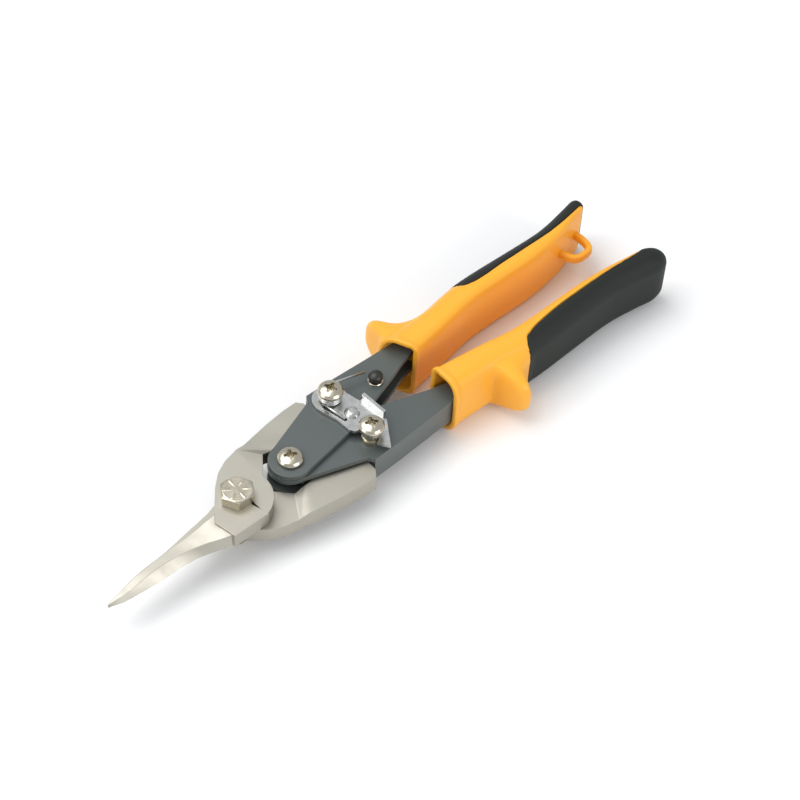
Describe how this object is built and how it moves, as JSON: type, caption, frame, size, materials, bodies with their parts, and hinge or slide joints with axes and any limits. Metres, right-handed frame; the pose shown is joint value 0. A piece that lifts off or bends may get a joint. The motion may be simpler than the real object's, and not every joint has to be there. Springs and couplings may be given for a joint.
{
  "type": "aviation_snips",
  "caption": "Compound-action aviation snips with blued sheet-steel handles, two-tone grips, a thumb latch and a hanging loop, shown closed and latched.",
  "frame": {"origin": "on the main pivot axis, at the plane the snips rest on", "axes": "+X along the tool from the main pivot towards the grips (the jaws point to -X), +Y towards the upper handle that carries the latch pivot, +Z along the pivots towards the bolt head"},
  "size_m": [0.2519, 0.062, 0.0268],
  "materials": {
    "blade_steel": "satin",
    "handle_paint": "satin",
    "grip_yellow": "matte",
    "grip_charcoal": "matte",
    "plated_steel": "satin",
    "latch_zinc": "satin",
    "spring_steel": "satin"
  },
  "bodies": {
    "lower_blade": {"lower_blade": "blade_steel", "pivot_bolt": "plated_steel", "pivot_washer": "plated_steel", "pivot_nut": "plated_steel"},
    "upper_blade": {"upper_blade": "blade_steel"},
    "lower_handle": {"lower_channel": "handle_paint", "lower_grip": "grip_yellow", "lower_grip_insert": "grip_charcoal", "handle_pivot_screw": "plated_steel", "handle_pivot_sleeve": "plated_steel", "handle_pivot_nut": "plated_steel", "main_spring": "spring_steel", "lower_link_screw": "plated_steel", "lower_link_sleeve": "plated_steel", "lower_link_nut": "plated_steel", "catch_collar": "plated_steel"},
    "upper_handle": {"upper_channel": "handle_paint", "upper_grip": "grip_yellow", "upper_grip_insert": "grip_charcoal", "hanging_loop": "grip_yellow", "upper_link_screw": "plated_steel", "upper_link_sleeve": "plated_steel", "upper_link_nut": "plated_steel", "latch_collar": "plated_steel", "spring_anchor_post": "spring_steel"},
    "latch": {"latch_plate": "latch_zinc", "latch_spring": "latch_zinc"}
  },
  "joints": [
    {"name": "blade_hinge", "type": "hinge", "parent": "lower_blade", "child": "upper_blade", "pos_m": [0, 0, 0.0125], "axis": [0, 0, 1], "range_deg": [0, 18]},
    {"name": "upper_handle_hinge", "type": "hinge", "parent": "upper_blade", "child": "upper_handle", "pos_m": [0.052, 0.0105, 0.0125], "axis": [0, 0, 1], "range_deg": [0, 8.55]},
    {"name": "lower_handle_hinge", "type": "hinge", "parent": "lower_blade", "child": "lower_handle", "pos_m": [0.052, -0.0105, 0.0125], "axis": [0, 0, 1], "range_deg": [-8.55, 0]},
    {"name": "latch_hinge", "type": "hinge", "parent": "upper_handle", "child": "latch", "pos_m": [0.052, 0.0105, 0.0201], "axis": [0, 0, 1], "range_deg": [0, 37.8]}
  ],
  "couplings": [
    {"joint": "upper_handle_hinge", "follows": "blade_hinge", "ratio": 0.475},
    {"joint": "lower_handle_hinge", "follows": "blade_hinge", "ratio": -0.475},
    {"joint": "latch_hinge", "follows": "blade_hinge", "ratio": 2.1}
  ]
}
